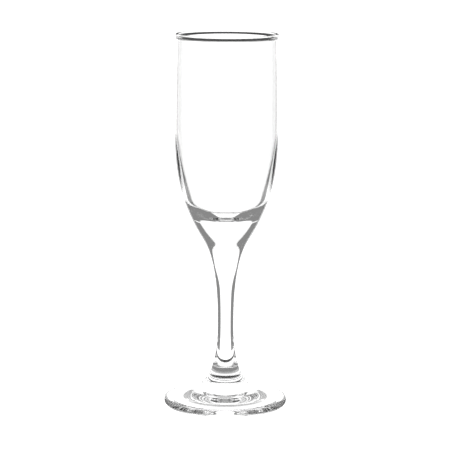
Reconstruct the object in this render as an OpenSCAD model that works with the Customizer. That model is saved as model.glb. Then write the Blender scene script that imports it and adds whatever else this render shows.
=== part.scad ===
// Champagne flute of clear soda-lime glass: a blown bowl with a heavy base, a
// drawn stem and a pressed foot. Each is its own solid, and each is fused to
// the next one face to face.
// Millimetres, +Z up. The origin is on the axis, on the table under the foot.

/* [Overall] */
// Height from the table to the top of the rim
glass_h = 190; // [170:1:235]

/* [Bowl] */
// Outside diameter where the bowl is widest
bowl_d = 52.4; // [42:0.2:66]
// Height of that widest place, as a share of the way from the stem to the rim
widest_share = 0.55; // [0.45:0.01:0.65]
// Outside diameter of the wall just under the rim
rim_d = 51.4; // [42:0.2:64]
// Thickness of the thin upper wall
wall_t = 1.0; // [0.8:0.05:1.5]
// Diameter of the rounded bead that finishes the rim
bead_d = 1.6; // [1.5:0.05:2.6]
// Thickness of the heavy lower wall
heavy_wall_t = 3.6; // [2.4:0.1:5]
// Share of the hollow's depth, from the bottom up, where the wall is thicker than at the rim
heavy_share = 0.5; // [0.35:0.01:0.65]
// Share of the hollow's depth, from the bottom up, where the wall has its full thickness
full_share = 0.1; // [0.05:0.01:0.2]
// Height over which the bottom of the hollow rounds in
round_h = 12; // [8:0.5:15]
// Thickness of the solid base, from the bottom of the hollow to the stem
base_t = 12.7; // [8:0.1:20]

/* [Stem] */
// Height of the stem piece, from seam to seam
stem_h = 66.7; // [50:0.5:85]
// Diameter of the stem at its waist
stem_d = 8; // [6:0.1:12]
// Height of the waist, as a share of the stem's height
waist_share = 0.37; // [0.25:0.01:0.5]
// Diameter where the lines of bowl and stem meet, before the join between them is smoothed
neck_d = 20.4; // [15:0.1:25]
// Diameter where the lines of stem and foot meet, before the join between them is smoothed
collar_d = 15.6; // [12:0.1:20]

/* [Foot] */
// Diameter of the foot
foot_d = 62.4; // [50:0.2:80]
// Height of the foot piece, from the table to its seam with the stem
foot_h = 16.6; // [13:0.2:22]
// Thickness of the foot's rounded edge
edge_t = 4.2; // [3:0.1:6]
// Width of the flat ring that the glass stands on
rest_w = 2.6; // [1.5:0.1:5]
// Height of the shallow hollow under the foot
kick_h = 2.4; // [1:0.1:3.4]
// Diameter of the dimple in the middle of that hollow
dimple_d = 23; // [16:0.5:28]
// Depth of the dimple above the hollow
dimple_h = 1.2; // [0.4:0.1:2]
// Radius of the fine half-round line that the lower seam leaves
seam_line_r = 0.2; // [0.1:0.05:0.3]

/* [Hidden] */
$fn = 128;
curve_steps = 4;
arc_steps = 12;
wall_steps = 32;
round_steps = 24;
glass = [0.86, 0.92, 0.93, 0.4];

// Levels and radii of the places where the outline changes.
bowl_seam_z = foot_h + stem_h;
hollow_z = bowl_seam_z + base_t;
bead_r = bead_d / 2;
rim_z = glass_h - bead_r;
wall_top_z = rim_z - sqrt(bead_r ^ 2 - (wall_t / 2) ^ 2);
bowl_r = bowl_d / 2;
rim_r = rim_d / 2;
neck_r = neck_d / 2;
stem_r = stem_d / 2;
collar_r = collar_d / 2;
foot_r = foot_d / 2;
rest_r = foot_r - edge_t / 2;
rest_in_r = rest_r - rest_w;
dimple_r = dimple_d / 2;

// A share of the way from a to b.
function between(a, b, share) = a + (b - a) * share;

widest_z = between(bowl_seam_z, rim_z, widest_share);
waist_z = between(foot_h, bowl_seam_z, waist_share);
heavy_top_z = between(hollow_z, wall_top_z, heavy_share);
full_z = between(hollow_z, wall_top_z, full_share);

// Points along an arc, between its two ends.
function arc(centre, r, from, to) =
    [for (i = [1 : arc_steps - 1])
        let (a = between(from, to, i / arc_steps)) centre + r * [cos(a), sin(a)]];

// One point of a uniform cubic B-spline, t from 0 to 1 along the span from b to c.
function spline_point(a, b, c, d, t) =
    ((1 - t) ^ 3 * a + (3 * t ^ 3 - 6 * t ^ 2 + 4) * b
    + (1 + 3 * t + 3 * t ^ 2 - 3 * t ^ 3) * c + t ^ 3 * d) / 6;

// A smooth curve shaped by its control points. It starts and ends on them.
function spline(points) =
    let (first = points[0], last = points[len(points) - 1],
         p = concat([first, first], points, [last, last]))
    concat(
        [for (i = [0 : len(p) - 4], k = [0 : curve_steps - 1])
            spline_point(p[i], p[i + 1], p[i + 2], p[i + 3], k / curve_steps)],
        [last]);

// The outside's control points, from the rim down. Each stretch leaves its fullest or its
// slimmest place slowly and then quicker and quicker, as a power of the share of its height.
lip = [for (i = [5 : -1 : 1]) let (s = i / 6)
    [between(bowl_r, rim_r, s ^ 3), between(widest_z, wall_top_z, s)]];
belly = [for (i = [0 : 12]) let (s = i / 13)
    [between(bowl_r, neck_r, s ^ 2.5), between(widest_z, bowl_seam_z, s)]];
// Above the waist a slow flare, and a quick one right under the bowl.
upper_stem = [for (i = [8 : -1 : 1]) let (s = i / 8)
    [between(stem_r, neck_r, 0.88 * s ^ 2.6 + 0.12 * s ^ 12), between(waist_z, bowl_seam_z, s)]];
lower_stem = [for (i = [0 : 5]) let (s = i / 5)
    [between(stem_r, collar_r, s ^ 2.5), between(waist_z, foot_h, s)]];
// Foot: radius from the collar to the edge, height from the edge to the seam, as shares.
foot_shape = [[0.05, 0.84], [0.18, 0.55], [0.4, 0.28], [0.7, 0.08], [0.9, 0]];
outside = spline(concat(
    [[rim_r, wall_top_z]], lip, belly, upper_stem, lower_stem,
    [for (s = foot_shape) [between(collar_r, foot_r, s[0]), between(edge_t, foot_h, s[1])]],
    [[foot_r - edge_t * 0.05, edge_t], [foot_r, edge_t * 0.7], [foot_r, edge_t * 0.5],
     [foot_r, edge_t * 0.3], [between(rest_r, foot_r, 0.7), 0], [rest_r, 0]]));

function backwards(list) = [for (i = [len(list) - 1 : -1 : 0]) list[i]];

// Outside radius of the glass at a height above the foot's edge.
radius_at = backwards([for (p = outside) if (p[1] > edge_t) [p[1], p[0]]]);
function outside_r(z) = lookup(z, radius_at);

// The outside from one height down to another.
function outside_between(high, low) = concat(
    [[outside_r(high), high]],
    [for (p = outside) if (p[1] > low && p[1] < high) p],
    [[outside_r(low), low]]);

// Thickness of the wall at a height: a smooth slope from the thin wall to the heavy one.
function soft(share) = let (s = min(max(share, 0), 1)) s * s * (3 - 2 * s);
function wall_at(z) = between(wall_t, heavy_wall_t, soft((heavy_top_z - z) / (heavy_top_z - full_z)));

// The hollow, from the rim to the axis. Its bottom rounds in along a quarter of the
// superellipse of power 2.5, whose points are cos(a) ^ 0.8 and sin(a) ^ 0.8.
inside = concat(
    [for (i = [0 : wall_steps - 1])
        let (z = between(wall_top_z, hollow_z + round_h, i / wall_steps)) [outside_r(z) - wall_at(z), z]],
    [for (i = [0 : round_steps])
        let (a = 90 * i / round_steps, z = hollow_z + round_h * (1 - sin(a) ^ 0.8),
             w = between(outside_r(hollow_z), wall_at(z), cos(a) ^ 0.8)) [max(0, outside_r(z) - w), z]]);

// The bead round the rim, from the inside of the wall over the top to its outside.
bead_edge = acos(wall_t / bead_d);
bead = arc([rim_r - wall_t / 2, rim_z], bead_r, 180 + bead_edge, -bead_edge);

// The line that stands out just under the seam between stem and foot.
line_z = foot_h - seam_line_r;
seam_line = arc([outside_r(line_z), line_z], seam_line_r, 90, -90);

// The underside, from the flat ring to the axis.
underside = spline([
    [rest_in_r, 0], [rest_in_r - 1.6, kick_h * 0.1],
    [between(rest_r, dimple_r, 0.45), kick_h * 0.55],
    [between(rest_r, dimple_r, 0.75), kick_h * 0.85],
    [dimple_r + 1, kick_h], [dimple_r - 0.5, kick_h + dimple_h * 0.75],
    [dimple_r / 2, kick_h + dimple_h], [0, kick_h + dimple_h]]);

module bowl() {
    color(glass) rotate_extrude()
        polygon(concat(bead, outside_between(wall_top_z, bowl_seam_z),
            [[0, bowl_seam_z]], backwards(inside)));
}

module stem() {
    color(glass) rotate_extrude()
        polygon(concat([[0, bowl_seam_z]], outside_between(bowl_seam_z, foot_h), [[0, foot_h]]));
}

module foot() {
    below_line = [for (p = outside) if (p[1] < line_z - seam_line_r) p];
    color(glass) rotate_extrude()
        polygon(concat([[0, foot_h], [outside_r(foot_h), foot_h]], seam_line, below_line, underside));
}

bowl();
stem();
foot();
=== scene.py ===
import math

import bpy
import numpy as np
from mathutils import Matrix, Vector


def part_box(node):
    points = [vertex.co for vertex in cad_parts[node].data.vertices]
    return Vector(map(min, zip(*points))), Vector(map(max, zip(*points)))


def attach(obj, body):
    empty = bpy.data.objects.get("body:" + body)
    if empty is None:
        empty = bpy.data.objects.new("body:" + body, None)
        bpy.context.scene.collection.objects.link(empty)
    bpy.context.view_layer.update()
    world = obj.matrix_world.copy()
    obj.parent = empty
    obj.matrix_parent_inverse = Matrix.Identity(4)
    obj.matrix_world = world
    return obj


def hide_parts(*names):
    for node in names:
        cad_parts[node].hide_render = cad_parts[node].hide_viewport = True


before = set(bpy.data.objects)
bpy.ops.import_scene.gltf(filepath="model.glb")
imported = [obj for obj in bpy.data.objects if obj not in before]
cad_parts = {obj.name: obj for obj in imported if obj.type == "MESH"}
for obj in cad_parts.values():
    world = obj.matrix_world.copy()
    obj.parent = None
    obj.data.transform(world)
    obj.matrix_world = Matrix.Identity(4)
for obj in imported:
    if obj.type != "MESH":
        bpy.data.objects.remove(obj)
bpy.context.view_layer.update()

# A champagne flute of clear, colourless glass: bowl, stem and foot, each a
# closed surface carried round the axis, in a studio lit from behind, the way
# clear glass is shown on white.

MM = 0.001

# Sizes that the frame gives.
bowl_low, bowl_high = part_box("bowl")
stem_low, stem_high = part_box("stem")
foot_low, foot_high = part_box("foot")
glass_h = bowl_high.z
bowl_r = bowl_high.x
bowl_seam_z = bowl_low.z
foot_h = foot_high.z
foot_r = foot_high.x

# Sizes inside those, as the CAD model has them.
rim_r = 25.7 * MM
wall_t = 1.0 * MM
bead_r = 0.8 * MM
heavy_wall_t = 3.6 * MM
base_t = 12.7 * MM
neck_r = 10.2 * MM
stem_r = 4.0 * MM
collar_r = 7.8 * MM
round_h = 12 * MM
edge_t = 4.2 * MM
rest_w = 2.6 * MM
kick_h = 2.4 * MM
dimple_r = 11.5 * MM
dimple_h = 1.2 * MM
seam_line_r = 0.2 * MM
hollow_z = bowl_seam_z + base_t
rim_z = glass_h - bead_r
wall_top_z = rim_z - math.sqrt(bead_r ** 2 - (wall_t / 2) ** 2)
rest_r = foot_r - edge_t / 2
rest_in_r = rest_r - rest_w
widest_z = bowl_seam_z + (rim_z - bowl_seam_z) * 0.55
waist_z = foot_h + (bowl_seam_z - foot_h) * 0.37
heavy_top_z = hollow_z + (wall_top_z - hollow_z) * 0.5
full_z = hollow_z + (wall_top_z - hollow_z) * 0.1


# ---------------------------------------------------------------- outlines

def spline(points, steps=64):
    """Uniform cubic B-spline: every span blends four neighbouring control points with the weights
    (1-t)^3, 3t^3-6t^2+4, 1+3t+3t^2-3t^3 and t^3, over 6. The ends count three times, so it meets them."""
    p = np.asarray(points, float)
    p = np.vstack([p[:1], p[:1], p, p[-1:], p[-1:]])
    t = (np.arange(steps) / steps)[None, :, None]
    a, b, c, d = (p[k:len(p) - 3 + k, None, :] for k in range(4))
    curve = ((1 - t) ** 3 * a + (3 * t ** 3 - 6 * t ** 2 + 4) * b
             + (1 + 3 * t + 3 * t ** 2 - 3 * t ** 3) * c + t ** 3 * d) / 6
    return np.vstack([curve.reshape(-1, 2), p[-1:]])


def between(a, b, share):
    """A share of the way from a to b."""
    return a + (b - a) * share


def evenly(line, step):
    """The same line with its points an even step apart, measured along it."""
    along = np.concatenate([[0], np.cumsum(np.hypot(*np.diff(line, axis=0).T))])
    marks = np.linspace(0, along[-1], max(2, round(along[-1] / step) + 1))
    return np.column_stack([np.interp(marks, along, line[:, k]) for k in (0, 1)])


def joined(*lines):
    """Lines end to end, with the point that two of them share kept once."""
    return np.vstack([lines[0]] + [line[1:] for line in lines[1:]])


def bent(r0, r1, z0, z1, height, bend):
    """Control points between two radii and two heights: the height at even shares of its way, the radius
    at the share that bend gives for each."""
    return np.column_stack([between(r0, r1, bend), between(z0, z1, height)])


def outside_line():
    """The outside from under the rim's bead down to the flat ring under the foot. Each stretch leaves its
    fullest or its slimmest place slowly, then quicker and quicker, as a power of the share of its height."""
    s = np.arange(5, 0, -1) / 6
    lip = bent(bowl_r, rim_r, widest_z, wall_top_z, s, s ** 3)
    s = np.arange(13) / 13
    belly = bent(bowl_r, neck_r, widest_z, bowl_seam_z, s, s ** 2.5)
    s = np.arange(8, 0, -1) / 8
    upper_stem = bent(stem_r, neck_r, waist_z, bowl_seam_z, s, 0.88 * s ** 2.6 + 0.12 * s ** 12)
    s = np.arange(6) / 5
    lower_stem = bent(stem_r, collar_r, waist_z, foot_h, s, s ** 2.5)
    out, up = np.transpose([[0.05, 0.84], [0.18, 0.55], [0.4, 0.28], [0.7, 0.08], [0.9, 0]])
    foot = bent(collar_r, foot_r, edge_t, foot_h, up, out)
    edge = [[foot_r - edge_t * 0.05, edge_t], [foot_r, edge_t * 0.7], [foot_r, edge_t * 0.5],
            [foot_r, edge_t * 0.3], [between(rest_r, foot_r, 0.7), 0], [rest_r, 0]]
    return spline(np.vstack([[[rim_r, wall_top_z]], lip, belly, upper_stem, lower_stem, foot, edge]))


def radius_at(z):
    """The outside's radius at heights above the foot's edge."""
    upwards = outside[outside[:, 1] > edge_t][::-1]
    return np.interp(z, upwards[:, 1], upwards[:, 0])


def stretch(high, low):
    """The outside from one height down to another."""
    inner = outside[(outside[:, 1] < high) & (outside[:, 1] > low)]
    return np.vstack([[radius_at(high), high], inner, [radius_at(low), low]])


def wall_at(z):
    """The wall's thickness at heights: a smooth slope, 3s^2 - 2s^3, from the thin wall to the heavy one."""
    s = np.clip((heavy_top_z - z) / (heavy_top_z - full_z), 0, 1)
    return between(wall_t, heavy_wall_t, s * s * (3 - 2 * s))


def inside_line():
    """The hollow from the rim down to its lowest point on the axis: the outside moved in by the wall's
    thickness, and rounded in below along a quarter of a superellipse, cos(a)^0.8 and sin(a)^0.8."""
    z = np.linspace(wall_top_z, hollow_z + round_h, 600)[:-1]
    wall = np.column_stack([radius_at(z) - wall_at(z), z])
    a = np.linspace(0, math.pi / 2, 400)
    z = hollow_z + round_h * (1 - np.sin(a) ** 0.8)
    thick = between(radius_at(hollow_z), wall_at(z), np.maximum(np.cos(a), 0) ** 0.8)
    bottom = np.column_stack([np.maximum(radius_at(z) - thick, 0), z])
    return np.vstack([wall, bottom])


def cut_below(line, z):
    """The part of a falling line that is below a height, with a point at that height."""
    r = np.interp(z, line[::-1, 1], line[::-1, 0])
    return np.vstack([[[r, z]], line[line[:, 1] < z]])


def rim_line(inner, outer):
    """Over the rim from the inside to the outside. Seven control points round the bead's circle shape it,
    further out than the circle itself, since a B-spline runs at (2 + cos 45) / 3 of their radius."""
    reach = bead_r * 3 / (2 + math.cos(math.pi / 4))
    turn = np.radians([225, 180, 135, 90, 45, 0, -45])
    bead = np.column_stack([rim_r - wall_t / 2 + reach * np.cos(turn), rim_z + reach * np.sin(turn)])
    neck_z = rim_z - bead_r * 2
    neck = [[rim_r - wall_t, neck_z], [rim_r, neck_z]]
    return spline(np.vstack([inner[:1], neck[:1], bead, neck[1:], outer[:1]]))


def underside_line():
    """The underside from the flat ring to the axis: a shallow hollow with a dimple in its middle."""
    return spline([
        [rest_in_r, 0], [rest_in_r - 1.6 * MM, kick_h * 0.1],
        [between(rest_r, dimple_r, 0.45), kick_h * 0.55],
        [between(rest_r, dimple_r, 0.75), kick_h * 0.85],
        [dimple_r + MM, kick_h], [dimple_r - MM / 2, kick_h + dimple_h * 0.75],
        [dimple_r / 2, kick_h + dimple_h], [0, kick_h + dimple_h]])


def seam_line():
    """The fine half-round line round the foot's top edge, from the seam down: r + s cos a, z + s sin a."""
    z = foot_h - seam_line_r
    a = np.radians(np.linspace(90, -90, 13))
    return np.column_stack([radius_at(z) + seam_line_r * np.cos(a), z + seam_line_r * np.sin(a)])


outside = outside_line()


# ---------------------------------------------------------------- surfaces

def normals_along(line):
    """The line's own normals, a quarter turn left of its direction at each point."""
    along = np.gradient(line, axis=0)
    left = np.column_stack([-along[:, 1], along[:, 0]])
    return left / np.linalg.norm(left, axis=1)[:, None]


def turned(flat, u):
    """Pairs (r, z) turned to the angles u: r cos u, r sin u, z, for every pair and angle."""
    r, z = flat[:, :1], flat[:, 1:]
    return np.stack([r * np.cos(u), r * np.sin(u), z + 0 * u], axis=-1)


def revolved(name, stretches, segments=256):
    """A closed surface: lines (r, z), end to end from one point on the axis to another, carried round it.
    Each line has a material slot and keeps its own normals to its ends, so that a seam disc stays flat
    and the skin beside it stays round. Every face corner gets the line's normal turned to its angle."""
    u = np.arange(segments) * 2 * math.pi / segments
    line = joined(*[s[0] for s in stretches])
    upper = np.vstack([normals_along(s[0])[:-1] for s in stretches])
    lower = np.vstack([normals_along(s[0])[1:] for s in stretches])
    slots = np.concatenate([np.full(len(s[0]) - 1, s[1]) for s in stretches])
    rings = len(line) - 2
    points = np.vstack([turned(line[1:-1], u).reshape(-1, 3), [[0, 0, line[0, 1]], [0, 0, line[-1, 1]]]])

    here = np.arange(segments)
    after = (here + 1) % segments
    row = np.arange(rings - 1)[:, None] * segments
    quads = np.stack([row + here, row + segments + here, row + segments + after, row + after], axis=-1)
    first, last = rings * segments, (rings - 1) * segments
    top = np.column_stack([np.full(segments, first), here, after])
    bottom = np.column_stack([last + here, np.full(segments, first + 1), last + after])
    mesh = bpy.data.meshes.new(name)
    mesh.from_pydata(points, [], quads.reshape(-1, 4).tolist() + top.tolist() + bottom.tolist())
    faces = np.concatenate([np.repeat(slots[1:-1], segments), np.full(segments, slots[0]),
                            np.full(segments, slots[-1])])
    mesh.polygons.foreach_set("material_index", faces.astype(np.int32))

    up, low = turned(upper, u), turned(lower, u)
    corners = np.stack([up[1:-1], low[1:-1], low[1:-1][:, after], up[1:-1][:, after]], axis=2)
    top_corners = np.stack([up[0], low[0], low[0][after]], axis=1)
    bottom_corners = np.stack([up[-1], low[-1], up[-1][after]], axis=1)
    mesh.shade_smooth()
    mesh.normals_split_custom_set(
        np.vstack([part.reshape(-1, 3) for part in (corners, top_corners, bottom_corners)]))
    made = bpy.data.objects.new(name, mesh)
    bpy.context.scene.collection.objects.link(made)
    return made


# --------------------------------------------------------------- materials

def node(tree, kind, **settings):
    """A shader node with its plain settings made."""
    made = tree.nodes.new("ShaderNode" + kind)
    for key, value in settings.items():
        setattr(made, key, value)
    return made


def clear_glass(name, grain, stretched, wave_h):
    """Clear soda-lime glass. Its only texture is the faint waviness of its making: noise with so many
    waves to the metre, drawn out along the axis, in relief by wave_h."""
    material = bpy.data.materials.new(name)
    material.use_nodes = True
    tree = material.node_tree
    shader = tree.nodes["Principled BSDF"]
    shader.inputs["Base Color"].default_value = (1, 1, 1, 1)
    shader.inputs["Roughness"].default_value = 0
    shader.inputs["IOR"].default_value = 1.52
    shader.inputs["Transmission Weight"].default_value = 1
    place = node(tree, "TexCoord")
    drawn = node(tree, "Mapping")
    drawn.inputs["Scale"].default_value = (1, 1, 1 / stretched)
    waves = node(tree, "TexNoise")
    waves.inputs["Scale"].default_value = grain
    waves.inputs["Detail"].default_value = 1
    relief = node(tree, "Bump")
    relief.inputs["Strength"].default_value = 1
    relief.inputs["Distance"].default_value = wave_h
    tree.links.new(place.outputs["Object"], drawn.inputs["Vector"])
    tree.links.new(drawn.outputs["Vector"], waves.inputs["Vector"])
    tree.links.new(waves.outputs["Fac"], relief.inputs["Height"])
    tree.links.new(relief.outputs["Normal"], shader.inputs["Normal"])
    return material


def fused_seam():
    """The disc where two pieces are fused: one glass runs on into the other, so nothing of it is seen."""
    material = bpy.data.materials.new("fused_seam")
    material.use_nodes = True
    shader = material.node_tree.nodes["Principled BSDF"]
    shader.inputs["Base Color"].default_value = (1, 1, 1, 1)
    shader.inputs["Alpha"].default_value = 0
    return material


# ------------------------------------------------------------------ pieces

GLASS, SEAM = 0, 1
seam = fused_seam()


def disc(z, outward):
    """The flat seam disc at a height, as a line from the axis or to it."""
    line = np.array([[0, z], [radius_at(z), z]])
    return line if outward else line[::-1]


def piece(name, stretches, glass):
    """A closed glass piece in the CAD node's place."""
    made = revolved(name, stretches)
    made.data.materials.append(glass)
    made.data.materials.append(seam)
    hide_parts(name.removesuffix("_glass"))
    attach(made, "root")
    return made


def bowl():
    """Up the hollow's wall, over the bead, down the outside, and in along the seam with the stem."""
    cut_z = rim_z - bead_r * 3
    inner = cut_below(inside_line(), cut_z)
    outer = stretch(cut_z, bowl_seam_z)
    skin = joined(evenly(inner[::-1], 0.8 * MM), evenly(rim_line(inner, outer), 0.12 * MM),
                  evenly(outer, 0.8 * MM))
    return piece("bowl_glass", [(skin, GLASS), (disc(bowl_seam_z, False), SEAM)],
                 clear_glass("bowl_glass", 60, 4, 0.003 * MM))


def stem():
    """From seam to seam, solid."""
    skin = evenly(stretch(bowl_seam_z, foot_h), 0.5 * MM)
    return piece("stem_glass", [(disc(bowl_seam_z, True), SEAM), (skin, GLASS), (disc(foot_h, False), SEAM)],
                 clear_glass("stem_glass", 80, 6, 0.003 * MM))


def foot():
    """From the seam over the dome and the round edge to the flat ring, and in under the hollow."""
    below_line = outside[outside[:, 1] < foot_h - 2 * seam_line_r]
    under = joined(below_line, np.vstack([below_line[-1:], underside_line()]))
    skin = joined(np.vstack([[[radius_at(foot_h), foot_h]], seam_line()[1:]]),
                  np.vstack([seam_line()[-1:], evenly(under, 0.25 * MM)]))
    return piece("foot_glass", [(disc(foot_h, True), SEAM), (skin, GLASS)],
                 clear_glass("foot_glass", 150, 1, 0.01 * MM))


bowl()
stem()
foot()


# ------------------------------------------------------------------ studio

# The camera's focal length in millimetres, and its distance and height in metres.
camera_lens = 172.35
camera_away = 1.080
camera_up = 0.269
camera_roll = math.radians(0.3)
middle = glass_h / 2
glass_away = math.hypot(camera_away, camera_up - middle)


def camera():
    """Eye level a little above the glass, aimed at its middle, with a small shift of the frame."""
    data = bpy.data.cameras.new("camera")
    data.lens = camera_lens
    data.sensor_width = 36
    data.shift_x = -0.0025
    data.shift_y = -0.0096
    data.clip_start = 0.01
    eye = bpy.data.objects.new("camera", data)
    bpy.context.scene.collection.objects.link(eye)
    tilt = math.atan2(camera_up - middle, camera_away)
    turn = Matrix.Rotation(math.pi / 2 - tilt, 4, "X") @ Matrix.Rotation(camera_roll, 4, "Z")
    eye.matrix_world = Matrix.Translation((0, -camera_away, camera_up)) @ turn
    bpy.context.scene.camera = eye
    return eye


def maths(tree, operation, *values):
    """One Math node; numbers are set on its sockets and outputs are linked to them."""
    made = node(tree, "Math", operation=operation)
    for socket, value in zip(made.inputs, values):
        if isinstance(value, (int, float)):
            socket.default_value = value
        else:
            tree.links.new(value, socket)
    return made.outputs[0]


def soft_step(tree, value, low, high):
    """0 below low, 1 above high, and a smooth slope between them."""
    made = node(tree, "MapRange", interpolation_type="SMOOTHSTEP")
    tree.links.new(value, made.inputs["Value"])
    made.inputs["From Min"].default_value = low
    made.inputs["From Max"].default_value = high
    return made.outputs["Result"]


def glow(name, strength_of):
    """A material that only gives light, as strong as strength_of(tree, object coordinates) says."""
    material = bpy.data.materials.new(name)
    material.use_nodes = True
    tree = material.node_tree
    tree.nodes.clear()
    place = node(tree, "TexCoord")
    light = node(tree, "Emission")
    out = node(tree, "OutputMaterial")
    tree.links.new(strength_of(tree, place.outputs["Object"]), light.inputs["Strength"])
    tree.links.new(light.outputs["Emission"], out.inputs["Surface"])
    material.cycles.emission_sampling = "NONE"
    return material


# Strengths of the light.
WHITE = 1.4
GREY = 0.25
SHADE = 0.05

# How far the tent's white reaches to each side, low down and how much further higher up, in degrees.
low_reach = 28
let_out_by = 22


def tent_light(tree, place):
    """White straight ahead and grey past its sides. The white reaches 28 degrees to each side at the
    glass's own height and below it, and 50 degrees higher up."""
    flat = node(tree, "SeparateXYZ")
    unit = node(tree, "VectorMath", operation="NORMALIZE")
    tree.links.new(place, unit.inputs[0])
    tree.links.new(unit.outputs["Vector"], flat.inputs[0])
    across, up, back = flat.outputs
    ahead = maths(tree, "MULTIPLY", back, -1)
    azimuth = maths(tree, "DEGREES", maths(tree, "ARCTAN2", maths(tree, "ABSOLUTE", across), ahead))
    height = maths(tree, "DEGREES", maths(tree, "ARCSINE", up))
    let_out = maths(tree, "MULTIPLY", soft_step(tree, height, 2, 14), let_out_by)
    reach = maths(tree, "ADD", let_out, low_reach)
    side = soft_step(tree, maths(tree, "SUBTRACT", azimuth, reach), -1.5, 3)
    return maths(tree, "ADD", maths(tree, "MULTIPLY", side, GREY - WHITE), WHITE)


def fixed_to(eye, made, ahead):
    """The piece moves with the camera, its origin so far ahead on the line of sight."""
    made.parent = eye
    made.matrix_parent_inverse = Matrix.Identity(4)
    made.location = (0, 0, -ahead)
    return made


def tent(eye):
    """A round tent about the glass, fixed to the camera so that the glass is lit from behind in every
    view: a sphere, r cos v cos u, r cos v sin u, r sin v."""
    tent_r = 3
    v = np.linspace(-math.pi / 2, math.pi / 2, 25)
    flat = np.column_stack([np.cos(v), np.sin(v)]) * tent_r
    flat[0, 0] = flat[-1, 0] = 0
    made = revolved("light_tent", [(flat, 0)], segments=48)
    made.data.materials.append(glow("light_tent", tent_light))
    return fixed_to(eye, made, glass_away)


def sheet(name, points, faces, light):
    """A thin sheet that lights or shades the glass and isn't seen itself."""
    flat = bpy.data.meshes.new(name)
    flat.from_pydata(points, [], faces)
    flat.materials.append(glow(name, light))
    made = bpy.data.objects.new(name, flat)
    made.visible_camera = False
    bpy.context.scene.collection.objects.link(made)
    return made


def black(tree, place):
    """Almost no light."""
    return maths(tree, "ADD", SHADE, 0)


def rim_card(eye):
    """A black card close behind the glass and above it. The bead turns the light that comes through it
    upwards, so the card is what draws the rim."""
    half_w, low, high, behind = 56 * MM, 112 * MM, 171 * MM, 77 * MM
    points = [(-half_w, low, 0), (half_w, low, 0), (half_w, high, 0), (-half_w, high, 0)]
    return fixed_to(eye, sheet("rim_card", points, [(0, 1, 2, 3)], black), glass_away + behind)


def contact_shade():
    """The shade on the table round the foot's edge: a flat ring, r cos u, r sin u, z."""
    segments = 128
    in_r, out_r, below = foot_r + MM, foot_r + 11 * MM, 0.3 * MM
    u = np.arange(segments) * 2 * math.pi / segments
    circle = np.column_stack([np.cos(u), np.sin(u)])
    flat = np.vstack([circle * in_r, circle * out_r])
    points = np.column_stack([flat, np.full(len(flat), -below)])
    here = np.arange(segments)
    after = (here + 1) % segments
    faces = np.column_stack([here, segments + here, segments + after, after])
    return sheet("contact_shade", points, faces.tolist(), black)


def floor_light(tree, place):
    """A pale table top, lit evenly, with a soft shade under the middle of the foot."""
    reach = node(tree, "VectorMath", operation="LENGTH")
    tree.links.new(place, reach.inputs[0])
    open_floor = soft_step(tree, reach.outputs["Value"], 12 * MM, 26 * MM)
    return maths(tree, "ADD", maths(tree, "MULTIPLY", open_floor, WHITE - GREY), GREY)


def floor():
    """A round table top just under the foot."""
    floor_r, top, underneath = 60 * MM, -0.4 * MM, -2 * MM
    flat = np.array([[0, top], [foot_r, top], [floor_r, top], [floor_r, underneath], [0, underneath]])
    made = revolved("floor", [(flat, 0)], segments=128)
    made.data.materials.append(glow("floor", floor_light))
    return made


eye = camera()
tent(eye)
rim_card(eye)
contact_shade()
floor()

scene = bpy.context.scene
scene.world = bpy.data.worlds.new("studio")
scene.view_settings.view_transform = "Standard"
scene.cycles.max_bounces = 24
scene.cycles.transmission_bounces = 24
scene.cycles.glossy_bounces = 12
scene.cycles.transparent_max_bounces = 16
scene.cycles.caustics_refractive = True
scene.cycles.caustics_reflective = True
